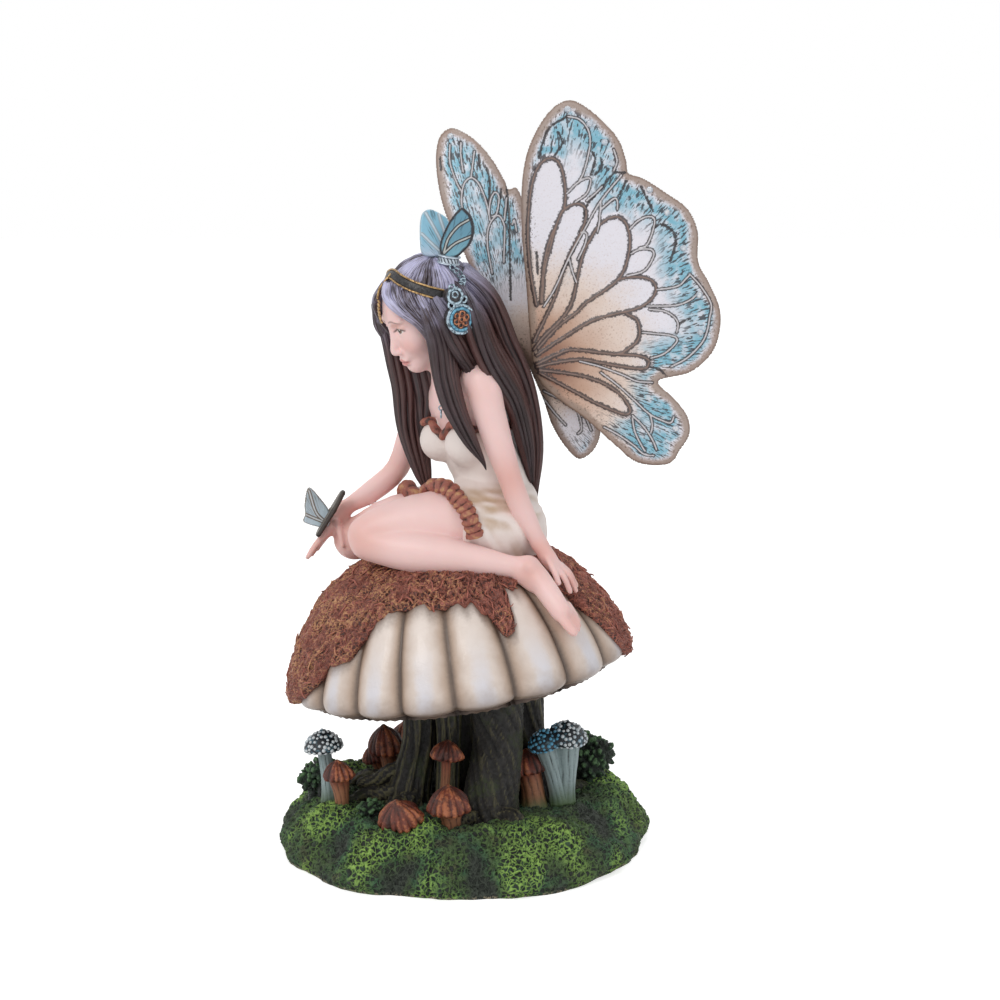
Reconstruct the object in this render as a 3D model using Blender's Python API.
"""Fairy figurine in cast, painted resin: a winged fairy seated on a ribbed mushroom cap over a mossy base.

Millimetres throughout; MM turns them into metres when a mesh is made. The origin is the middle of the
underside, +Z is up, and the side that the figurine shows is -Y. The castings are the ground with its
stalks and small mushrooms, the cap, the fairy, two wings, the hair butterfly and the hand butterfly.
"""

import math

import bmesh
import bpy
from mathutils import Matrix, Vector
from mathutils.geometry import delaunay_2d_cdt

MM = 0.001

# Fit between castings
SEAT_GAP = 0.3
CLOSE_GAP = 0.15
CAP_SEAT_GAP = 0.65

# Ground
BASE_RADIUS = 51.5
BASE_OFFSET_X = -1.2
GROUND_HEIGHT = 13.5
BASE_EDGE_HEIGHT = 3.0
BASE_DROP_WIDTH = 15.0

# Stalks that carry the cap
STALK_RIDGE = 0.5
ROOT_RADIUS = 2.2

# Large cap
CAP_RADIUS = 46.5
CAP_HEIGHT = 35.5
CAP_RIM_HEIGHT = 48.0
CAP_OFFSET_X = -1.4
CAP_TILT = math.radians(8.2)
CAP_UNDERSIDE_DEPTH = 5.0
STALK_SEAT_RADIUS = 24.0
CAP_SECTORS = 144
CAP_ROOM_SECTORS = 108
CAP_ROOM_DEPTH = 10.0
BACK_RIBS = 12
RIB_DEPTH = 2.8
COVER_THICKNESS = 1.5
BARK_DEPTH = 0.6
BARK_COLUMNS = 29
BARK_ROWS = 26

# Fairy, built from the point where she sits
HEAD_HEIGHT = 28.0
HEAD_WIDTH = 19.0
HEAD_DEPTH = 22.0
HEAD_TURN = math.radians(20)
HEAD_NOD = math.radians(20)
BODY_TURN = math.radians(38)
HAIR_DEPTH = 2.6
TRIM_RADIUS = 2.0
EARPIECE_RADIUS = 4.2
EARPIECE_THICKNESS = 3.2

# Wings
WING_THICKNESS = 1.8
WING_EDGE = 1.1
WING_TAPER_WIDTH = 8.0
VEIN_HEIGHT = 0.45
VEIN_HALF_WIDTH = 0.8
CELL_POINTS = 11
WING_PEG_RADIUS = 1.8
WING_PEG_LENGTH = 5.0
NEAR_WING_FORWARD_LEAN = 0.10
NEAR_WING_BOW = -0.0008
FAR_WING_BOW = 0.004
SEAT_POINTS = 5
CRYSTAL_RADIUS = 0.95
CRYSTAL_HEIGHT = 0.6

# Butterflies
BUTTERFLY_THICKNESS = 0.9
COLLAR_RADIUS = 3.1
COLLAR_HEIGHT = 2.4
HAND_BODY_RADIUS = 0.95

# Paint, as linear colours with roughness
MOSS = (0.060, 0.120, 0.035, 0.85)
CREAM = (0.62, 0.52, 0.40, 0.45)
SKIN = (0.83, 0.56, 0.47, 0.50)
PEARL = (0.70, 0.62, 0.55, 0.55)
SKY = (0.28, 0.55, 0.62, 0.45)
CRYSTAL = (0.85, 0.88, 0.92, 0.05)


def paint(name, colour):
    """A plain painted-resin material; colour is red, green, blue and roughness."""
    material = bpy.data.materials.new(name)
    material.use_nodes = True
    shader = material.node_tree.nodes["Principled BSDF"]
    shader.inputs["Base Color"].default_value = (*colour[:3], 1.0)
    shader.inputs["Roughness"].default_value = colour[3]
    shader.inputs["Metallic"].default_value = 0.0
    return material


def place_object(name, bm, colour=None):
    """Makes a bmesh in millimetres into an object in metres; without a colour it is a hidden cutter."""
    bmesh.ops.recalc_face_normals(bm, faces=bm.faces)
    mesh = bpy.data.meshes.new(name)
    bm.to_mesh(mesh)
    bm.free()
    mesh.transform(Matrix.Scale(MM, 4))
    item = bpy.data.objects.new(name, mesh)
    bpy.context.scene.collection.objects.link(item)
    if colour is None:
        item.hide_render = True
        item.display_type = "WIRE"
    else:
        mesh.materials.append(paint(name + "_paint", colour))
    return item


def fuse(item, voxel, smoothing, keep):
    """Makes overlapping shapes one casting, softens its creases and thins its faces to a share."""
    remesh = item.modifiers.new("one_casting", "REMESH")
    remesh.mode = "VOXEL"
    remesh.voxel_size = voxel * MM
    soften = item.modifiers.new("soften", "SMOOTH")
    soften.factor = 0.5
    soften.iterations = smoothing
    thin = item.modifiers.new("thin_faces", "DECIMATE")
    thin.ratio = keep


def boolean(item, other, operation):
    cut = item.modifiers.new(other.name, "BOOLEAN")
    cut.operation = operation
    cut.solver = "EXACT"
    cut.object = other


def catmull(values, share):
    """A point on the smooth curve through values; each value is a tuple, and share runs from 0 to 1."""
    spans = len(values) - 1
    at = min(share * spans, spans - 1e-9)
    i = int(at)
    t = at - i
    a, b = values[max(i - 1, 0)], values[i]
    c, d = values[i + 1], values[min(i + 2, spans)]
    return tuple(
        0.5 * (2 * q + (r - p) * t + (2 * p - 5 * q + 4 * r - s) * t * t + (3 * q - p - 3 * r + s) * t**3)
        for p, q, r, s in zip(a, b, c, d)
    )


def smooth_loop(points, per_span):
    """A closed smooth outline through points, as a list of 2D vectors."""
    count = len(points)
    out = []
    for i in range(count):
        four = [points[(i + k) % count] for k in (-1, 0, 1, 2)]
        for j in range(per_span):
            out.append(Vector(catmull(four, (1 + j / per_span) / 3)))
    return out


def ring(bm, centre, across, out, width, depth, sides, wave=0.0, lobes=0, turn=0.0):
    """One closed ring of vertices in the plane of across and out."""
    made = []
    for k in range(sides):
        angle = 2 * math.pi * k / sides
        swell = 1 + wave * math.cos(lobes * angle + turn)
        point = centre + across * (width * swell * math.cos(angle)) + out * (depth * swell * math.sin(angle))
        made.append(bm.verts.new(point))
    return made


def bridge(bm, rings, closed_ends=True):
    """Joins rings of equal count with faces, and fans the two ends shut."""
    for low, high in zip(rings, rings[1:]):
        count = len(low)
        for k in range(count):
            bm.faces.new((low[k], low[(k + 1) % count], high[(k + 1) % count], high[k]))
    if closed_ends:
        bm.faces.new(list(reversed(rings[0])))
        bm.faces.new(rings[-1])


def limb(bm, stations, steps=10, sides=12, facing=Vector((0, 1, 0)), wave=0.0, lobes=0, twist=0.0):
    """A rounded, tapering form through stations (x, y, z, half width, half depth).

    Its depth points as near to facing as the path allows, and its ends are domes.
    """
    samples = [catmull(stations, k / steps) for k in range(steps + 1)]
    centres = [Vector(s[:3]) for s in samples]
    rings = []
    for k, sample in enumerate(samples):
        along = (centres[min(k + 1, steps)] - centres[max(k - 1, 0)]).normalized()
        across = facing.cross(along).normalized()
        out = along.cross(across)
        width, depth = max(sample[3], 0.05), max(sample[4], 0.05)
        turn = twist * 2 * math.pi * k / steps
        dome = []
        if k in (0, steps):
            end = -1 if k == 0 else 1
            for lift in (math.radians(70), math.radians(38)):
                push = along * (end * min(width, depth) * math.sin(lift))
                shrink = math.cos(lift)
                dome.append((centres[k] + push, shrink))
        if k == 0:
            for centre, shrink in dome:
                rings.append(ring(bm, centre, across, out, width * shrink, depth * shrink, sides))
        rings.append(ring(bm, centres[k], across, out, width, depth, sides, wave, lobes, turn))
        if k == steps:
            for centre, shrink in reversed(dome):
                rings.append(ring(bm, centre, across, out, width * shrink, depth * shrink, sides))
    bridge(bm, rings)


def round_limb(bm, stations, steps=10, sides=12):
    """A limb of round section through stations (x, y, z, radius)."""
    limb(bm, [(*s[:3], s[3], s[3]) for s in stations], steps, sides, Vector((0.13, 1, 0.21)))


def ball(bm, centre, radii, axes=None, rings=8, sides=14):
    """An ellipsoid; axes are the three directions of its radii."""
    frame = axes or (Vector((1, 0, 0)), Vector((0, 1, 0)), Vector((0, 0, 1)))
    stretch = Matrix([frame[i] * radii[i] for i in range(3)]).transposed().to_4x4()
    bmesh.ops.create_uvsphere(
        bm, u_segments=sides, v_segments=rings, radius=1, matrix=Matrix.Translation(centre) @ stretch
    )


def cylinder(bm, centre, axis, radius, length, sides=20, end_radius=None):
    turn = Vector(axis).to_track_quat("Z", "Y").to_matrix().to_4x4()
    bmesh.ops.create_cone(
        bm,
        cap_ends=True,
        segments=sides,
        radius1=radius,
        radius2=radius if end_radius is None else end_radius,
        depth=length,
        matrix=Matrix.Translation(centre) @ turn,
    )


# The cap's frame: its own up leans to the left with the tilt.
CAP_CENTRE = Vector((CAP_OFFSET_X, 0, CAP_RIM_HEIGHT))
CAP_ACROSS = Vector((math.cos(CAP_TILT), 0, math.sin(CAP_TILT)))
CAP_UP = Vector((-math.sin(CAP_TILT), 0, math.cos(CAP_TILT)))
SEAT = CAP_CENTRE + CAP_UP * CAP_HEIGHT


def cap_world(x, y, up):
    return CAP_CENTRE + CAP_ACROSS * x + Vector((0, 1, 0)) * y + CAP_UP * up


# Ground with stalks and small mushrooms

# Mossy mounds and hollows: place across and back, spread, and height or depth
MOUNDS = (
    (16, -44, 8.0, 3.4), (-37, -22, 9.5, 3.2), (-25, -40, 8.5, 3.0), (-8, -46, 8.0, 2.6), (-11, -35, 6.5, 2.2),
    (26, -35, 9.0, 3.0), (43, -3, 8.5, 3.0), (-46, -10, 6.5, 2.6), (39, -29, 7.0, 2.6), (2, -37, 6.0, 1.2),
    (40, 14, 9.0, 3.4), (-38, 20, 10.0, 3.2), (-20, 37, 9.0, 3.0), (3, 42, 9.0, 3.2), (25, 34, 9.0, 3.0),
    (-2, -18, 8.0, 1.4), (-26, 2, 8.0, 1.6), (8, -31, 6.0, 1.0),
)
HOLLOWS = (
    (-18, -47, 4.5, 2.6), (5, -48, 4.5, 2.4), (23, -45, 4.5, 2.0), (36, -17, 6.0, 1.8), (-33, -34, 4.0, 1.6),
    (2, -28, 5.0, 1.4), (-44, 4, 5.0, 1.8), (34, 26, 5.0, 2.0), (-30, 32, 5.0, 2.0), (14, 42, 4.0, 2.0),
)

# Stalks: foot, waist and head as (x, y, radius), the last at the cap's underside, then turns of twist
STALKS = (
    ((-16, -10, 6.5), (-12.5, -8, 4.4), (-13, -8, 5.0), 0.15),
    ((-5, -15, 3.6), (-4.5, -12, 3.0), (-4.5, -11, 4.2), 0.25),
    ((7.0, -19, 8.6), (9.0, -15, 6.6), (8.0, -13, 7.4), 0.62),
    ((19, -3, 7.0), (16.5, 0, 5.2), (15.5, 1, 6.2), 0.20),
    ((2, 13, 9.0), (1, 10, 7.0), (0, 9, 8.2), 0.30),
    ((-1, -1, 10.0), (0, -1, 9.0), (0, -1, 9.2), 0.20),
)

ROOTS = (
    ((-15, -11, 17), (-26, -9, 15.5), (-36, -10, 12)),
    ((-16, -6, 18), (-28, 2, 16.5), (-37, 4, 13)),
    ((8, -22, 15), (14, -28, 13.5), (13, -35, 11)),
    ((4, -22, 14), (-2, -27, 13.5), (-7, -28, 12)),
    ((22, -3, 16), (29, 2, 14.5), (37, 4, 12)),
    ((3, 16, 16), (6, 25, 14.5), (9, 33, 12)),
    ((-6, 12, 16), (-15, 21, 14.5), (-21, 28, 12)),
)

# Small mushrooms: foot, top of the stem, stem radii, cap radius and cap height
PLEATED_CAPS = (
    ((-33.5, -18, 12), (-34.5, -18, 24.5), (1.7, 3.0), 3.9, 3.4),
    ((-21, 3, 14), (-22.5, 2, 27.0), (2.4, 2.6), 4.6, 5.2),
    ((-6.5, -21, 12), (-5.0, -21, 31.0), (1.4, 1.3), 3.7, 3.4),
    ((-15.5, -32, 11), (-17.5, -34, 17.2), (2.4, 3.4), 5.4, 4.4),
    ((-3.5, -33, 11), (-4.0, -33, 20.6), (2.4, 3.6), 5.4, 4.8),
    ((20, -12, 12), (18.7, -11, 24.6), (3.6, 3.2), 4.9, 4.2),
    ((-23.5, 6, 14), (-26.0, 5, 22.5), (1.6, 1.8), 3.0, 3.0),
    ((9, 30, 11), (10, 31, 20.0), (2.2, 2.6), 4.6, 4.0),
    ((-17, 27, 12), (-18, 28, 22.0), (2.0, 2.2), 4.2, 3.8),
)
DOTTED_CAPS = (
    ((-37.5, -10, 12), (-39.0, -10, 28.2), (2.1, 1.9), 5.2, 3.6),
    ((27.0, -12, 13), (24.4, -13, 32.2), (2.6, 3.4), 4.7, 3.4),
    ((28.5, -11, 13), (31.0, -12, 34.0), (3.0, 3.8), 5.4, 3.8),
)
BUSHES = ((-42.5, -2, 18, 4.2), (-39.5, -5, 21.5, 3.6), (34.5, 8, 18.5, 4.8), (37.5, 10, 21.5, 4.6),
          (33.5, 11, 24.0, 3.8), (-25.5, -24, 15.5, 3.2))


def bumps(table, x, y):
    """The summed height of round bumps at a place."""
    return sum(h * math.exp(-((x - cx) ** 2 + (y - cy) ** 2) / (spread * spread)) for cx, cy, spread, h in table)


def ground_height(share, x, y):
    """Height of the moss: a low table that falls to the edge, with mounds and hollows."""
    fall = min((1 - share) * BASE_RADIUS / BASE_DROP_WIDTH, 1)
    table = BASE_EDGE_HEIGHT + (GROUND_HEIGHT - BASE_EDGE_HEIGHT) * math.sin(fall * math.pi / 2)
    return table + (bumps(MOUNDS, x, y) - bumps(HOLLOWS, x, y)) * fall


def add_ground(bm):
    """The mound, as rings of a wavy outline over a flat underside that is cut flush later."""
    sectors, steps = 64, 16
    rings = []
    for level in range(-1, steps):
        made = []
        for k in range(sectors):
            angle = 2 * math.pi * k / sectors
            edge = 1 + 0.018 * math.sin(5 * angle + 0.6) + 0.012 * math.sin(11 * angle)
            share = 1 - max(level, 0) / steps
            x = BASE_RADIUS * edge * share * math.cos(angle) + BASE_OFFSET_X
            y = BASE_RADIUS * edge * share * math.sin(angle)
            z = -2.0 if level < 0 else ground_height(share, x, y)
            made.append(bm.verts.new((x, y, z)))
        rings.append(made)
    bridge(bm, rings)


def add_stalks(bm):
    for index, (foot, waist, head, turns) in enumerate(STALKS):
        top = CAP_CENTRE.z + CAP_UNDERSIDE_DEPTH + math.tan(CAP_TILT) * head[0] + 4
        middle = 0.5 * (GROUND_HEIGHT + top)
        stations = [(foot[0], foot[1], GROUND_HEIGHT - 4, foot[2] * 1.12, foot[2] * 1.12)]
        stations.append((foot[0], foot[1], GROUND_HEIGHT + 2, foot[2] * 0.88, foot[2] * 0.88))
        stations.append((waist[0], waist[1], middle, waist[2], waist[2]))
        stations.append((head[0], head[1], top, head[2], head[2]))
        ridge = STALK_RIDGE / waist[2]
        limb(bm, stations, 12, 24, wave=ridge, lobes=5 + index % 3, twist=turns)
    for path in ROOTS:
        radii = (ROOT_RADIUS * 1.5, ROOT_RADIUS, ROOT_RADIUS * 0.6)
        round_limb(bm, [(*point, radius) for point, radius in zip(path, radii)], 6, 10)


def add_small_mushroom(bm, foot, top, stem_radii, radius, height, pleats):
    """A stem and a domed cap with a rolled edge; pleats scallop the cap."""
    axis = (Vector(top) - Vector(foot)).normalized()
    across = axis.cross(Vector((0, 1, 0))).normalized()
    out = across.cross(axis)
    flare = 0.5 * (stem_radii[1] + radius)
    round_limb(bm, [(*foot, stem_radii[0]), (*top, stem_radii[1])], 4, 10)
    sections = ((-0.42, flare * 0.72), (-0.12, radius * 0.97), (0.12, radius), (0.5, radius * 0.82),
                (0.82, radius * 0.5), (1.0, radius * 0.14))
    rings = [
        ring(bm, Vector(top) + axis * (height * lift), across, out, size, size, 24, 0.06 if pleats else 0.0, 8)
        for lift, size in sections
    ]
    bridge(bm, rings)


def build_ground():
    bm = bmesh.new()
    add_ground(bm)
    add_stalks(bm)
    for foot, top, stem_radii, radius, height in PLEATED_CAPS:
        add_small_mushroom(bm, foot, top, stem_radii, radius, height, True)
    for foot, top, stem_radii, radius, height in DOTTED_CAPS:
        add_small_mushroom(bm, foot, top, stem_radii, radius, height, False)
    for x, y, z, radius in BUSHES:
        ball(bm, Vector((x, y, z)), (radius, radius, radius * 0.9))
        round_limb(bm, [(x, y, GROUND_HEIGHT - 3, 1.6), (x, y, z, 1.6)], 3, 8)
    ground = place_object("mossy_base", bm, MOSS)
    fuse(ground, 0.75, 2, 0.0168)

    below = bmesh.new()
    bmesh.ops.create_cube(below, size=1)
    bmesh.ops.scale(below, verts=below.verts, vec=(4 * BASE_RADIUS, 4 * BASE_RADIUS, 40))
    bmesh.ops.translate(below, verts=below.verts, vec=(0, 0, -20))
    boolean(ground, place_object("cut_underside", below), "DIFFERENCE")

    above = bmesh.new()
    bmesh.ops.create_cube(above, size=1)
    bmesh.ops.scale(above, verts=above.verts, vec=(3 * CAP_RADIUS, 3 * CAP_RADIUS, 40))
    seat = cap_world(0, 0, CAP_UNDERSIDE_DEPTH - SEAT_GAP + 20)
    turn = Matrix.Translation(seat) @ Matrix.Rotation(-CAP_TILT, 4, "Y")
    bmesh.ops.transform(above, matrix=turn, verts=above.verts)
    boolean(ground, place_object("cut_stalk_tops", above), "DIFFERENCE")
    return ground


# Large cap

# Dome profile: share of the radius and share of the height, from the rim to the top
DOME = ((1.0, 0.0), (1.01, 0.07), (0.98, 0.22), (0.885, 0.47), (0.70, 0.77), (0.46, 0.95), (0.2, 0.995), (0.0, 1.0))

# Bearings of the grooves between the ribs that show, from the right; the grooves behind them are even
FRONT_GROOVES = (-144.4, -126.4, -108.8, -90.3, -69.6, -48.2, -27.3)

# Lower edge of the bark cover: bearing from the right, and share of the dome's arc from the rim
COVER_EDGE = (
    (-180, 0.00), (-168, 0.04), (-157, 0.13), (-148, 0.28), (-140, 0.38), (-128, 0.43), (-123, 0.50), (-116, 0.56),
    (-107, 0.55), (-99, 0.57), (-87, 0.55), (-77, 0.56), (-72, 0.51), (-68, 0.44), (-64, 0.46), (-60, 0.57),
    (-46, 0.60), (-29, 0.49), (-23, 0.36), (-18, 0.22), (-13, 0.08), (-4, 0.05), (14, 0.08), (28, 0.22), (45, 0.14),
    (62, 0.30), (78, 0.20), (95, 0.34), (112, 0.18), (130, 0.26), (150, 0.06), (165, 0.02), (180, 0.00),
)


def rib_bulge(bearing):
    """How far across a rib a bearing lies: 0 in a groove and 1 on the middle of a rib."""
    span = 360 + FRONT_GROOVES[0] - FRONT_GROOVES[-1]
    grooves = list(FRONT_GROOVES) + [FRONT_GROOVES[-1] + span * k / BACK_RIBS for k in range(1, BACK_RIBS + 1)]
    around = (bearing - grooves[0]) % 360 + grooves[0]
    for low, high in zip(grooves, grooves[1:]):
        if around <= high:
            break
    return 1 - abs(2 * (around - low) / (high - low) - 1)


def cover_edge(bearing):
    for (a, low), (b, high) in zip(COVER_EDGE, COVER_EDGE[1:]):
        if a <= bearing <= b:
            return low + (high - low) * (bearing - a) / (b - a)
    return COVER_EDGE[-1][1]


def dome_point(bearing, share, grow=0.0):
    """A point of the cap's outside: ribs below, and the raised bark cover above its ragged edge."""
    reach, lift = catmull(DOME, share)
    radius, up = CAP_RADIUS * reach, CAP_HEIGHT * lift
    under_cover = share - cover_edge(bearing)
    covered = min(max(under_cover / 0.03, 0), 1)
    bulge = math.sin(rib_bulge(bearing) * math.pi / 2) ** 0.62
    fade = max(1 - share / 0.92, 0) ** 0.4
    rib = RIB_DEPTH * (bulge - 1) * fade * (1 - covered)
    angle = math.radians(bearing)
    shag = math.sin(angle * BARK_COLUMNS + 8 * share) * math.sin(share * BARK_ROWS + angle * 5)
    swell = rib + (COVER_THICKNESS + BARK_DEPTH * shag) * covered + grow
    steep = min(max(reach, 0), 1) ** 1.5
    radius += swell * steep
    up += swell * (1 - steep)
    return radius * math.cos(angle), radius * math.sin(angle), up


def cap_shell(bm, sectors, steps, grow, seat_depth, rim_drop):
    """The cap's outside as rings from rim to top, closed by a hollow underside with a flat seat."""
    rings = []
    outline = ((STALK_SEAT_RADIUS * 0.5, seat_depth), (STALK_SEAT_RADIUS, seat_depth),
               (CAP_RADIUS * 0.80, seat_depth * 0.35), (CAP_RADIUS * 0.93, -rim_drop))
    for radius, up in outline:
        made = []
        for k in range(sectors):
            angle = 2 * math.pi * k / sectors - math.pi
            made.append(bm.verts.new(cap_world(radius * math.cos(angle), radius * math.sin(angle), up)))
        rings.append(made)
    for level in range(steps):
        share = level / steps * 0.985
        made = []
        for k in range(sectors):
            bearing = 360 * k / sectors - 180
            made.append(bm.verts.new(cap_world(*dome_point(bearing, share, grow))))
        rings.append(made)
    bridge(bm, rings)


def build_cap():
    bm = bmesh.new()
    cap_shell(bm, CAP_SECTORS, 28, 0.0, CAP_UNDERSIDE_DEPTH, 1.4)
    cap = place_object("mushroom_cap", bm, CREAM)
    thin = cap.modifiers.new("thin_faces", "DECIMATE")
    thin.ratio = 0.2
    return cap


# Fairy

def turned(turn, nod=0.0):
    """Forward, left and up for a figure that faces the left, turned to the viewer and nodding."""
    forward = Vector((-math.cos(turn) * math.cos(nod), -math.sin(turn) * math.cos(nod), -math.sin(nod)))
    left = Vector((math.sin(turn), -math.cos(turn), 0))
    return forward, left, forward.cross(left)


FACE, HEAD_LEFT, HEAD_UP = turned(HEAD_TURN, HEAD_NOD)
CHEST, BODY_LEFT, BODY_UP = turned(BODY_TURN)
HEAD = SEAT + Vector((-4.8, -3.0, 64.5))

# Points of the pose, from the seat: (x, y, z, radius)
NEAR_ARM = ((11.4, -12.5, 47.4, 4.7), (13.4, -14.0, 39.5, 4.5), (16.0, -15.0, 30.5, 4.0), (19.0, -15.4, 21.7, 3.4),
            (22.2, -15.6, 13.5, 3.1), (26.6, -16.0, 4.6, 2.1))
NEAR_HAND = ((26.8, -16.2, 4.2, 2.1), (28.6, -17.0, 1.6, 2.6), (30.6, -18.0, -1.2, 2.2))
NEAR_FINGERS = (
    ((30.0, -20.0, -0.6, 1.1), (32.2, -22.0, -3.2, 1.0), (33.0, -22.8, -6.0, 0.8)),
    ((31.0, -18.8, -1.0, 1.2), (34.0, -20.2, -3.6, 1.05), (36.2, -20.6, -7.4, 0.8)),
    ((31.6, -17.2, -1.0, 1.2), (34.8, -17.8, -3.4, 1.05), (37.2, -17.8, -7.2, 0.8)),
    ((31.4, -15.6, -1.0, 1.1), (34.4, -15.2, -3.0, 1.0), (36.8, -14.6, -6.4, 0.8)),
)
FAR_ARM = ((-4.2, 12.0, 41.0, 4.6), (-8.4, 14.4, 31.4, 3.9), (-12.7, 15.6, 19.6, 3.4), (-20.0, 13.6, 13.4, 3.1),
           (-27.0, 10.4, 9.8, 2.1))
FAR_HAND = ((-27.4, 10.0, 9.2, 2.0), (-30.4, 8.0, 5.8, 2.5), (-33.0, 6.8, 2.6, 1.7))
FAR_FINGERS = (
    ((-32.4, 6.0, 3.2, 1.1), (-35.2, 4.6, 0.0, 1.0), (-37.0, 4.2, -3.0, 0.8)),
    ((-32.8, 7.4, 2.8, 1.1), (-35.6, 6.6, -0.6, 1.0), (-37.4, 6.2, -3.4, 0.8)),
    ((-32.0, 9.0, 3.0, 1.1), (-34.6, 8.6, -0.2, 1.0), (-36.0, 8.2, -3.0, 0.8)),
    ((-29.6, 5.4, 5.6, 1.2), (-28.6, 3.6, 3.2, 1.0), (-27.6, 3.0, 0.8, 0.8)),
)
NEAR_THIGH = ((20.0, -8.0, 6.0, 10.0), (7.0, -10.5, 9.8, 9.0), (-6.0, -12.0, 9.8, 7.6), (-18.4, -13.0, 7.0, 5.8))
NEAR_SHIN = ((-18.8, -14.4, 5.0, 5.7), (-9.0, -17.6, 3.0, 5.6), (0.6, -20.0, 2.2, 5.3), (11.3, -22.0, 0.9, 4.2),
             (22.6, -23.2, -0.8, 3.1))
NEAR_FOOT = ((24.6, -23.2, -0.4, 3.5, 3.3), (28.6, -27.4, -5.4, 3.4, 2.9), (32.4, -31.0, -10.6, 3.5, 2.3),
             (34.6, -33.4, -14.4, 2.6, 1.5))
FAR_THIGH = ((18.0, 9.0, 5.5, 10.0), (2.0, 10.0, 7.0, 8.6), (-12.0, 9.0, 6.4, 7.2), (-24.6, 8.0, 1.6, 5.6))
FAR_SHIN = ((-24.4, 9.0, 0.8, 5.5), (-12.0, 15.0, -0.6, 5.4), (2.0, 19.0, -2.4, 4.6), (12.0, 21.0, -4.0, 3.6))
TORSO = ((19.6, 0.4, 1.5, 14.0, 12.0), (18.6, 0.0, 8.0, 13.6, 11.4), (14.8, 0.0, 17.0, 10.2, 8.4),
         (11.0, -0.3, 26.0, 11.2, 8.6), (7.6, -0.5, 34.0, 11.8, 8.2), (4.6, -0.5, 41.0, 11.0, 6.6),
         (3.4, -0.6, 45.5, 7.5, 5.0))
NECK = ((3.2, -0.8, 44.0, 4.4), (0.8, -1.6, 50.0, 3.8), (-1.6, -2.4, 56.0, 4.0))
BUST_SHARE = 0.60
BUST_FORWARD = 5.4
BUST_APART = 5.4
BUST_RADIUS = 5.8

# Skirt hem across both thighs
HEM = ((-9.8, 10.0, 13.2), (-8.2, 3.0, 14.8), (-4.6, -4.5, 15.8), (1.6, -13.4, 15.6), (6.2, -18.6, 11.8),
       (9.0, -20.8, 7.0), (10.6, -20.6, 3.6))

# Hair locks: (x, y, z, half width, half depth) from the seat
HAIR_LOCKS = (
    ((4, -1, 77, 8, 3), (14, 2, 69, 11, 4), (20, 5, 56, 12, 4), (23, 6, 42, 10.5, 3.4), (24.5, 5, 28, 7, 2.6),
     (25.4, 3, 14, 2, 1.2)),
    ((2, -8, 76, 5, 3), (9, -11, 68, 7, 3.6), (13, -10.5, 56, 8, 3.6), (18, -6.5, 44, 6, 3), (22.5, -3, 31, 4, 2.4),
     (24.6, -2, 19, 1, 0.8)),
    ((4, 8, 76, 5, 3), (12, 12, 67, 6, 3.6), (17, 14, 54, 6, 3.4), (19, 14, 42, 5.5, 3), (21, 12, 30, 4, 2.4),
     (23, 10, 18, 1, 0.8)),
    ((-6, -9, 76, 4, 2.4), (0, -13, 69, 5, 2.8), (3.6, -14, 60, 5, 3), (6.0, -13.4, 52, 4.6, 2.8),
     (9.0, -12, 49, 3.6, 2.4), (14, -9, 44, 2.0, 1.6)),
    ((-9.5, -7, 74, 3, 2), (-5.5, -12.5, 67, 4.4, 2.6), (-0.8, -14.0, 58.5, 4.6, 2.8), (2.0, -14.4, 50, 4, 2.4),
     (5.0, -15.4, 42, 3.4, 2.2), (9.4, -17.6, 33.5, 2.4, 1.8), (13.0, -18.8, 27.5, 0.9, 0.8)),
    ((-12.0, 0, 74.5, 3, 2), (-15.0, 4, 66, 5, 2.4), (-13.6, 7, 55, 6, 3), (-10.4, 9, 44, 5.4, 3), (-8.0, 9.6, 32, 4, 2.4),
     (-5.6, 8, 21, 2.4, 1.8), (-4.0, 6.4, 15, 0.9, 0.8)),
    ((-6.0, 9, 66, 5, 3), (-5.0, 8, 54, 5.4, 3), (-2.6, 8, 42, 5, 3), (-3.0, 7, 32, 3, 2), (-3.6, 6.4, 25, 0.9, 0.8)),
    ((-12.4, -3, 76, 2.6, 1.6), (-13.2, -7.4, 70.5, 3.2, 1.8), (-9.4, -11.4, 66, 3.4, 1.8), (-4.0, -13.4, 60, 2.6, 1.6)),
    ((-13.0, -1, 74, 2.4, 1.4), (-17.0, 1.5, 67.5, 3.2, 1.6), (-16.4, 5.4, 59, 3, 1.6)),
)

# Wing root, in the hair between the shoulder blades
WING_ROOT = SEAT + Vector((26.6, 0, 50.3))
NEAR_ROOT_Y = 3.0
FAR_ROOT_Y = 9.5


def add_person(bm):
    """Head, trunk and limbs, as tapering forms that run into each other."""
    at = SEAT

    def moved(stations):
        return [(s[0] + at.x, s[1] + at.y, s[2] + at.z, *s[3:]) for s in stations]

    limb(bm, moved(TORSO), 14, 20, facing=-CHEST)
    for side in (-1, 1):
        middle = Vector(catmull([s[:3] for s in TORSO], BUST_SHARE))
        bust = at + middle + CHEST * BUST_FORWARD + BODY_LEFT * (side * BUST_APART)
        ball(bm, bust, (BUST_RADIUS, BUST_RADIUS, BUST_RADIUS))
    for path in (NEAR_ARM, FAR_ARM, NEAR_THIGH, FAR_THIGH, NEAR_SHIN, FAR_SHIN, NECK):
        round_limb(bm, moved(path), 14, 16)
    for path in (NEAR_HAND, FAR_HAND, *NEAR_FINGERS, *FAR_FINGERS):
        round_limb(bm, moved(path), 6, 10)
    limb(bm, moved(NEAR_FOOT), 8, 14, facing=Vector((-0.3, 0.8, -0.6)))
    add_head(bm)


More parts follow.
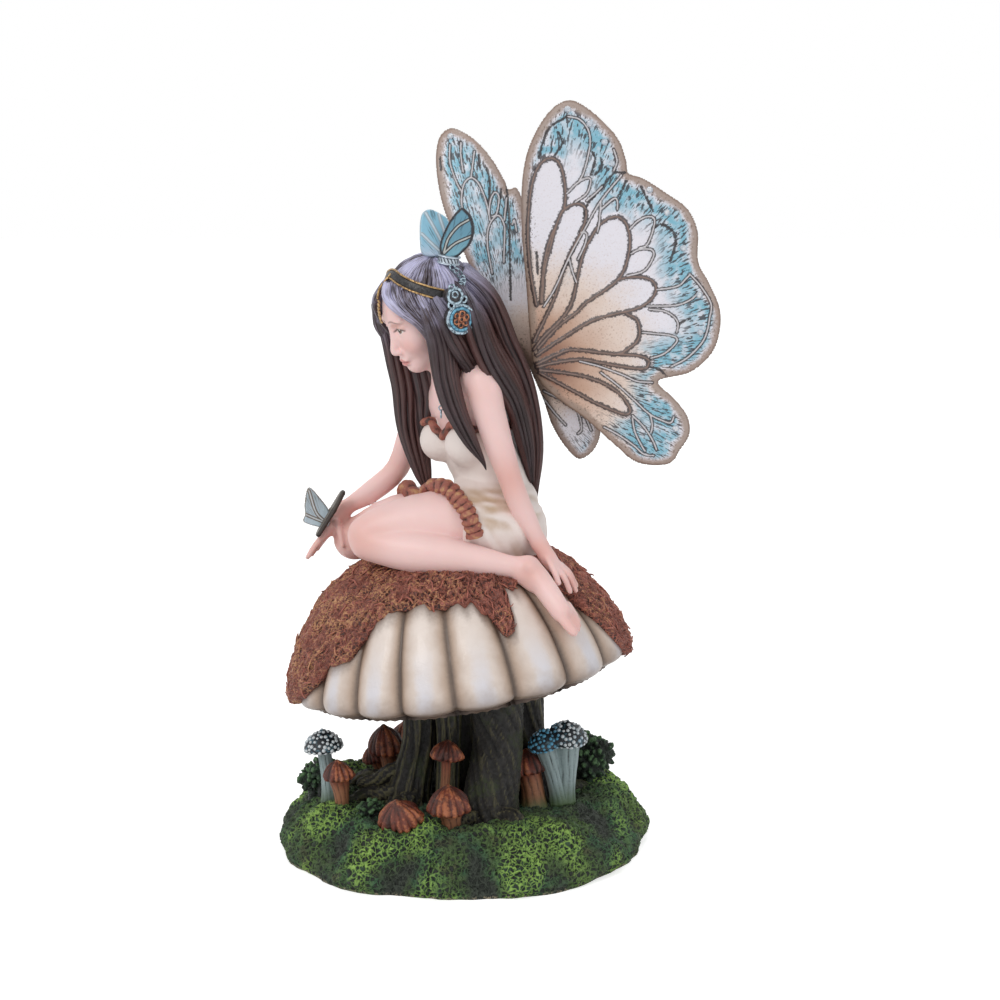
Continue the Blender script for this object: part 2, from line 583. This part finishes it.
def add_head(bm):
    """A skull and jaw on plain proportions, with a brow, nose, lips and chin in low relief."""
    frame = (FACE, HEAD_LEFT, HEAD_UP)
    unit = HEAD_HEIGHT / 28.0
    skull = HEAD - FACE * 0.6 * unit + HEAD_UP * 2.6 * unit
    ball(bm, skull, (HEAD_DEPTH / 2, HEAD_WIDTH / 2, HEAD_HEIGHT * 0.40), frame, 12, 20)
    jaw = HEAD + FACE * 2.9 * unit - HEAD_UP * 5.2 * unit
    ball(bm, jaw, (7.0 * unit, HEAD_WIDTH * 0.36, 8.2 * unit), frame, 10, 16)
    features = (
        ((9.3, 0.0, -12.2), (1.9, 2.4, 1.7)),
        ((10.4, 0.0, -4.2), (1.7, 1.3, 1.3)),
        ((9.7, 0.0, -1.6), (1.3, 0.9, 3.0)),
        ((9.5, 0.0, -7.9), (1.3, 2.3, 0.8)),
        ((9.1, 0.0, 2.6), (1.2, 6.0, 1.2)),
    )
    for (ahead, side, up), radii in features:
        place = HEAD + FACE * ahead * unit + HEAD_LEFT * side + HEAD_UP * up * unit
        ball(bm, place, tuple(r * unit for r in radii), frame, 6, 10)


def add_hair(bm):
    """The hair as a cap over the skull with thick carved locks that fall from it."""
    frame = (FACE, HEAD_LEFT, HEAD_UP)
    crown = HEAD - FACE * (2.0 * HAIR_DEPTH) + HEAD_UP * (1.8 * HAIR_DEPTH)
    radii = (HEAD_DEPTH / 2 + 0.1 * HAIR_DEPTH, HEAD_WIDTH / 2 + 0.9 * HAIR_DEPTH, HEAD_HEIGHT * 0.38 + 0.4 * HAIR_DEPTH)
    ball(bm, crown, radii, frame, 12, 20)
    for lock in HAIR_LOCKS:
        stations = [(s[0] + SEAT.x, s[1] + SEAT.y, s[2] + SEAT.z, s[3], s[4]) for s in lock]
        inward = HEAD + Vector((2, 0, -20))
        middle = Vector(stations[len(stations) // 2][:3])
        limb(bm, stations, 14, 16, facing=(inward - middle).normalized(), wave=0.09, lobes=6)


def add_dress(bm):
    """The skirt's drape over the hips and its frilled hem; the bodice is the trunk itself."""
    at = SEAT
    drape = ((21.0, 2.0, 0.5, 15.0, 14.0), (16.0, -1.5, 5.0, 15.4, 13.4), (9.0, -3.5, 8.6, 15.2, 10.4),
             (2.5, -4.5, 9.8, 14.4, 8.4))
    limb(bm, [(x + at.x, y + at.y, z + at.z, w, d) for x, y, z, w, d in drape], 8, 20, facing=Vector((0, 0, 1)))
    steps = 44
    points = [catmull(HEM, k / steps) for k in range(steps + 1)]
    frill = [
        (p[0] + at.x, p[1] + at.y, p[2] + at.z, TRIM_RADIUS * (1 + 0.16 * (k % 2)))
        for k, p in enumerate(points)
    ]
    round_limb(bm, frill, steps, 8)


def add_headdress(bm):
    """The braid round the head and the round filigree earpiece with its ring."""
    steps = 30
    band = []
    for k in range(steps + 1):
        angle = math.radians(-150 + 300 * k / steps)
        place = HEAD - FACE * 1.4 + HEAD_UP * (6.0 + 1.6 * math.cos(angle))
        place += FACE * ((HEAD_DEPTH / 2 + 0.4) * math.cos(angle))
        place += HEAD_LEFT * ((HEAD_WIDTH / 2 + HAIR_DEPTH * 0.8) * math.sin(angle))
        band.append((*place, 1.1))
    round_limb(bm, band, steps, 8)
    ear = HEAD - FACE * 7.4 + HEAD_LEFT * (HEAD_WIDTH / 2 + HAIR_DEPTH + 1.0) - HEAD_UP * 0.5
    cylinder(bm, ear, HEAD_LEFT, EARPIECE_RADIUS, EARPIECE_THICKNESS, 24, EARPIECE_RADIUS * 0.86)
    cylinder(bm, ear + HEAD_UP * (1.6 * EARPIECE_RADIUS), HEAD_LEFT, EARPIECE_RADIUS * 0.5, EARPIECE_THICKNESS, 16)


def build_fairy(near_wing_room, far_wing_room):
    bm = bmesh.new()
    add_person(bm)
    add_hair(bm)
    add_dress(bm)
    add_headdress(bm)
    root = Vector((WING_ROOT.x - 5.2, (NEAR_ROOT_Y + FAR_ROOT_Y) / 2, WING_ROOT.z))
    ball(bm, root, (5.4, 7.0, 6.0))
    fairy = place_object("fairy_figure", bm, SKIN)
    fuse(fairy, 0.5, 3, 0.0069)

    room = bmesh.new()
    cap_shell(room, CAP_ROOM_SECTORS, 30, CAP_SEAT_GAP, -CAP_ROOM_DEPTH, CAP_ROOM_DEPTH)
    boolean(fairy, place_object("room_for_cap", room), "DIFFERENCE")
    boolean(fairy, near_wing_room, "DIFFERENCE")
    boolean(fairy, far_wing_room, "DIFFERENCE")
    boolean(fairy, collar("room_for_collar", SEAT_GAP), "DIFFERENCE")
    boolean(fairy, hand_groove(), "DIFFERENCE")
    return fairy


# Wings

NEAR_OUTLINE = (
    (-1.5, 1.0), (-2.6, 11), (-3.4, 22), (-4.6, 36), (-4.6, 50), (-2.5, 60), (2.5, 68.5), (8, 71.5), (14, 68.5),
    (20.5, 62), (23, 56), (23.8, 52.4), (28, 50.8), (34, 47), (39.5, 43), (42.3, 37), (42.6, 29), (45.5, 23.5),
    (48.5, 16.5), (48.6, 10), (46.5, 4), (41, -1), (32.5, -3.6), (36.8, -8.2), (40.4, -13), (41, -18),
    (38.6, -22.2), (35.5, -26.2), (27, -26), (20.5, -21), (13, -14.5), (6, -9.5), (0.5, -4.5),
)
FAR_OUTLINE = (
    (-1.0, 4), (-5.5, 10), (-11.5, 22), (-17, 31.5), (-22.5, 40), (-26, 48), (-28.2, 56), (-27.4, 61.6), (-24.4, 64),
    (-20.5, 62.8), (-16, 59.5), (-12, 54.5), (-9.2, 49.6), (-8.2, 47.4), (-5.8, 47.6), (-3.6, 42), (-0.5, 28),
    (6, 14), (9, 2), (13, -8), (16.8, -15), (17.4, -20.5), (15.4, -25), (11.6, -27.2), (8, -24), (4, -17.5), (1, -9),
)

# Cells between the veins: inner end, outer end and half width, from the wing's root
NEAR_CELLS = (
    (-0.2, 20.4, 4.1, 57.0, 4.7), (2.5, 18.5, 12.6, 44.0, 3.5), (5.5, 9.5, 25.0, 40.5, 6.0), (7.0, 5.5, 32.0, 21.2, 3.9),
    (7.5, 3.2, 28.0, 9.4, 3.4), (6.0, 0.6, 30.0, 1.2, 1.6), (4.5, -2.5, 25.2, -12.2, 2.7), (16.0, -2.4, 38.0, -14.6, 2.4),
    (26.0, 33.8, 32.4, 41.0, 1.9), (25.6, 25.0, 32.4, 31.6, 2.1), (29.4, 11.2, 39.2, 14.6, 2.7), (29.0, 5.6, 39.0, 6.4, 2.2),
    (8.6, 45.4, 14.6, 51.6, 1.7), (5.6, 52.0, 11.0, 62.5, 2.8),
)
FAR_CELLS = ((-11.6, 25.0, -19.2, 50.6, 3.3), (-8.0, 16.0, -11.2, 41.2, 1.9), (2.4, -7.2, 11.8, -18.0, 2.0))
CRYSTALS = ((7.5, 69.2), (13.4, 65.4), (17.4, 60.6), (19.4, 55.0), (29.5, 48.0), (34.2, 42.0), (38.6, 32.6),
            (43.2, 20.0), (43.6, 10.0), (37.4, -16.4))
FAR_CRYSTAL = (-24.2, 61.4)


def cell_outline(cell, grow=0.0):
    """A petal-shaped cell: narrow at its inner end, round at its outer end."""
    inner, outer, half_width = Vector(cell[:2]), Vector(cell[2:4]), cell[4] + grow
    along = (outer - inner).normalized()
    inner, outer = inner - along * grow, outer + along * grow
    across = Vector((along.y, -along.x))
    loop = []
    for k in range(CELL_POINTS):
        turn = 2 * math.pi * k / CELL_POINTS
        share = (1 - math.cos(turn)) / 2
        loop.append(inner.lerp(outer, share) + across * (half_width * math.sin(turn) * (0.30 + 0.80 * share)))
    return loop


def distance_to_loop(point, loop):
    best = 1e9
    for a, b in zip(loop, loop[1:] + loop[:1]):
        edge = b - a
        share = min(max((point - a).dot(edge) / max(edge.length_squared, 1e-9), 0), 1)
        best = min(best, (point - a - edge * share).length)
    return best


def near_bow(s, h):
    """Depth of the near wing's middle surface: it leans to the viewer on the right and at the top."""
    return NEAR_ROOT_Y - NEAR_WING_FORWARD_LEAN * s + NEAR_WING_BOW * (s * s + h * h)


def far_bow(s, h):
    """Depth of the far wing's middle surface: it curves away from the viewer on all sides."""
    return FAR_ROOT_Y + FAR_WING_BOW * (s * s + h * h)


def plate_half(spot, edge):
    """Half the plate's thickness at a spot: thin at the outline, full a little way in."""
    taper = min(distance_to_loop(spot, edge) / WING_TAPER_WIDTH, 1)
    return (WING_EDGE + (WING_THICKNESS - WING_EDGE) * math.sin(taper * math.pi / 2)) / 2


def wing_plate(bm, outline, cells, seats, bow, grow=0.0, per_span=2):
    """A thin plate on an outline in the plane of the wing, with sunken cells between veins on both sides."""
    edge = smooth_loop(outline, per_span)
    loops = [cell_outline(cell) for cell in cells]
    coords = list(edge)
    edges = [(k, (k + 1) % len(edge)) for k in range(len(edge))]
    face = [list(range(len(edge)))]
    for cell in cells:
        for shift in (-VEIN_HALF_WIDTH, 0):
            first = len(coords)
            coords.extend(cell_outline(cell, shift))
            edges.extend((first + k, first + (k + 1) % CELL_POINTS) for k in range(CELL_POINTS))
    for seat in seats:
        first = len(coords)
        for k in range(SEAT_POINTS):
            turn = 2 * math.pi * k / SEAT_POINTS
            coords.append(Vector(seat) + Vector((math.cos(turn), math.sin(turn))) * (CRYSTAL_RADIUS * 1.3))
        edges.extend((first + k, first + (k + 1) % SEAT_POINTS) for k in range(SEAT_POINTS))
    flat, _, triangles, _, _, _ = delaunay_2d_cdt(coords, edges, face, 1, 0.02)
    front, back = [], []
    for point in flat:
        half = plate_half(point, edge) + grow
        near_vein = min((distance_to_loop(point, loop) for loop in loops), default=9)
        vein = VEIN_HEIGHT * max(1 - near_vein / VEIN_HALF_WIDTH, 0)
        depth = bow(point.x, point.y)
        front.append(bm.verts.new((WING_ROOT.x + point.x, depth - half - vein, WING_ROOT.z + point.y)))
        back.append(bm.verts.new((WING_ROOT.x + point.x, depth + half + vein, WING_ROOT.z + point.y)))
    used = {}
    for a, b, c in triangles:
        bm.faces.new((front[a], front[b], front[c]))
        bm.faces.new((back[c], back[b], back[a]))
        for side in ((a, b), (b, c), (c, a)):
            used[side] = True
    for a, b in used:
        if (b, a) not in used:
            bm.faces.new((front[b], front[a], back[a], back[b]))
    loose = [v for v in bm.verts if not v.link_faces]
    bmesh.ops.delete(bm, geom=loose, context="VERTS")


def peg(name, depth, grow, length):
    """The round peg at a wing's root, which lies along X in the figure's back."""
    bm = bmesh.new()
    centre = Vector((WING_ROOT.x + 2.0 - length / 2, depth, WING_ROOT.z))
    cylinder(bm, centre, (1, 0, 0), WING_PEG_RADIUS + grow, length, 16)
    return place_object(name, bm)


def build_wing(name, outline, cells, seats, bow, depth):
    bm = bmesh.new()
    wing_plate(bm, outline, cells, seats, bow)
    wing = place_object(name, bm, PEARL)
    boolean(wing, peg(name + "_peg", depth, 0.0, WING_PEG_LENGTH + 2.0), "UNION")
    return wing


def wing_room(name, outline, bow, depth):
    """The space that a wing and its peg take in the figure, with the gap all round."""
    bm = bmesh.new()
    grown = [(s * 1.02 - (0.5 if s < 3 else 0), h) for s, h in outline]
    wing_plate(bm, grown, (), (), bow, SEAT_GAP + VEIN_HEIGHT, 1)
    room = place_object(name, bm)
    boolean(room, peg(name + "_peg", depth, SEAT_GAP, WING_PEG_LENGTH + 2.0 + SEAT_GAP), "UNION")
    return room


def build_crystal(name, spot, outline, bow):
    """A round faceted stone with a flat back, seated on the front of a wing."""
    bm = bmesh.new()
    s, h = spot
    slope = Vector((-(bow(s + 0.5, h) - bow(s - 0.5, h)), 1, -(bow(s, h + 0.5) - bow(s, h - 0.5)))).normalized()
    front = Vector((WING_ROOT.x + s, bow(s, h), WING_ROOT.z + h))
    seat = front - slope * (plate_half(Vector(spot), smooth_loop(outline, 2)) + CLOSE_GAP)
    across = slope.cross(Vector((0, 0, 1))).normalized()
    out = across.cross(slope)
    levels = ((0.0, 0.92), (0.3, 1.0), (1.0, 0.45))
    rings = [
        ring(bm, seat - slope * (CRYSTAL_HEIGHT * lift), across, out, CRYSTAL_RADIUS * size, CRYSTAL_RADIUS * size, 6)
        for lift, size in levels
    ]
    bridge(bm, rings)
    return place_object(name, bm, CRYSTAL)


# Butterflies

COLLAR_SEAT = HEAD + Vector((0.314 * HEAD_DEPTH, -0.211 * HEAD_WIDTH, 0.514 * HEAD_HEIGHT))
COLLAR_AXIS = Vector((0.16, -0.10, 1.0)).normalized()
HAND_BODY_FOOT = SEAT + Vector((-34.8, 4.2, 2.9))
HAND_BODY_HEAD = SEAT + Vector((-30.6, 6.0, 10.1))

HAIR_WING_FAR = ((0.5, 0.0), (-3.0, 1.8), (-7.8, 2.6), (-8.8, 8.0), (-8.6, 13.0), (-6.8, 14.6), (-4.2, 13.8),
                 (-1.4, 11.8), (-0.6, 8.0))
HAIR_WING_NEAR = ((-1.0, 0.4), (-1.6, 4.0), (0.8, 9.6), (4.0, 13.4), (6.0, 12.4), (7.2, 10.4), (7.6, 6.8), (6.6, 3.8),
                  (4.8, 1.8), (2.6, 0.2))
HAND_WING_LEFT = ((0.6, -1.4), (-5.6, 0.2), (-5.3, 2.6), (-5.4, 5.6), (-4.2, 10.2), (-1.2, 7.2), (1.6, 2.6))
HAND_WING_RIGHT = ((-0.8, -3.0), (2.6, -4.0), (4.4, 0.4), (5.6, 6.0), (3.6, 10.4), (0.6, 9.6), (-0.8, 4.0))


def small_wing(bm, outline, origin, across, up):
    """A flat wing of even thickness on a smooth outline in the plane of across and up."""
    edge = smooth_loop(outline, 2)
    out = across.cross(up).normalized()
    rings = []
    for side in (-0.5, 0.5):
        shift = origin + out * (side * BUTTERFLY_THICKNESS)
        rings.append([bm.verts.new(shift + across * p.x + up * p.y) for p in edge])
    bridge(bm, rings)


def collar(name, grow=0.0):
    """The silver collar that the hair butterfly stands on, or with grow the room for it in the hair."""
    bm = bmesh.new()
    height = COLLAR_HEIGHT + (8 if grow else 0)
    centre = COLLAR_SEAT + COLLAR_AXIS * (height / 2 - grow)
    cylinder(bm, centre, COLLAR_AXIS, COLLAR_RADIUS + grow, height, 20)
    return place_object(name, bm)


def build_hair_butterfly():
    """Two upright wings that stand on a round collar, cast as one."""
    bm = bmesh.new()
    height = COLLAR_HEIGHT
    cylinder(bm, COLLAR_SEAT + COLLAR_AXIS * (height / 2), COLLAR_AXIS, COLLAR_RADIUS, height, 20)
    top = COLLAR_SEAT + COLLAR_AXIS * (COLLAR_HEIGHT - 0.8)
    small_wing(bm, HAIR_WING_FAR, top + Vector((0.6, 1.4, 0)), Vector((0.96, 0.25, 0)), Vector((0.04, 0.22, 0.97)))
    small_wing(bm, HAIR_WING_NEAR, top + Vector((-0.6, -0.6, 0)), Vector((0.98, -0.20, 0)), Vector((0, -0.14, 0.99)))
    butterfly = place_object("hair_butterfly", bm, SKY)
    fuse(butterfly, 0.28, 1, 0.015)
    return butterfly


def hand_groove():
    """The groove that the hand butterfly's body lies in, with the gap all round."""
    bm = bmesh.new()
    lift = Vector((-0.5, -0.8, 0.35)).normalized()
    for shift in (0.0, 1.6, 3.2):
        foot, head = HAND_BODY_FOOT + lift * shift, HAND_BODY_HEAD + lift * shift
        radius = HAND_BODY_RADIUS * 1.15 + SEAT_GAP + 0.3 * shift
        round_limb(bm, [(*foot, radius), (*head, radius)], 3, 12)
    groove = place_object("groove_for_body", bm)
    fuse(groove, 0.3, 1, 0.2)
    return groove


def build_hand_butterfly():
    """A slim body with one wing up to the left and one folded against the palm."""
    bm = bmesh.new()
    body = HAND_BODY_RADIUS
    round_limb(bm, [(*HAND_BODY_FOOT, body * 0.6), (*HAND_BODY_HEAD, body)], 5, 10)
    middle = (HAND_BODY_FOOT + HAND_BODY_HEAD) / 2
    slant = (HAND_BODY_HEAD - HAND_BODY_FOOT).normalized()
    small_wing(bm, HAND_WING_LEFT, middle, Vector((0.97, 0.22, 0)), Vector((0, -0.1, 0.99)))
    small_wing(bm, HAND_WING_RIGHT, middle, Vector((0.12, -0.99, 0)), slant)
    butterfly = place_object("hand_butterfly", bm, SKY)
    fuse(butterfly, 0.28, 1, 0.022)
    return butterfly


def main():
    for item in list(bpy.data.objects):
        bpy.data.objects.remove(item)
    build_ground()
    build_cap()
    near_room = wing_room("room_for_near_wing", NEAR_OUTLINE, near_bow, NEAR_ROOT_Y)
    far_room = wing_room("room_for_far_wing", FAR_OUTLINE, far_bow, FAR_ROOT_Y)
    build_fairy(near_room, far_room)
    build_wing("near_wing", NEAR_OUTLINE, NEAR_CELLS, CRYSTALS, near_bow, NEAR_ROOT_Y)
    build_wing("far_wing", FAR_OUTLINE, FAR_CELLS, (FAR_CRYSTAL,), far_bow, FAR_ROOT_Y)
    for index, spot in enumerate(CRYSTALS, 1):
        build_crystal(f"near_wing_crystal_{index:02d}", spot, NEAR_OUTLINE, near_bow)
    build_crystal("far_wing_crystal", FAR_CRYSTAL, FAR_OUTLINE, far_bow)
    build_hair_butterfly()
    build_hand_butterfly()


main()
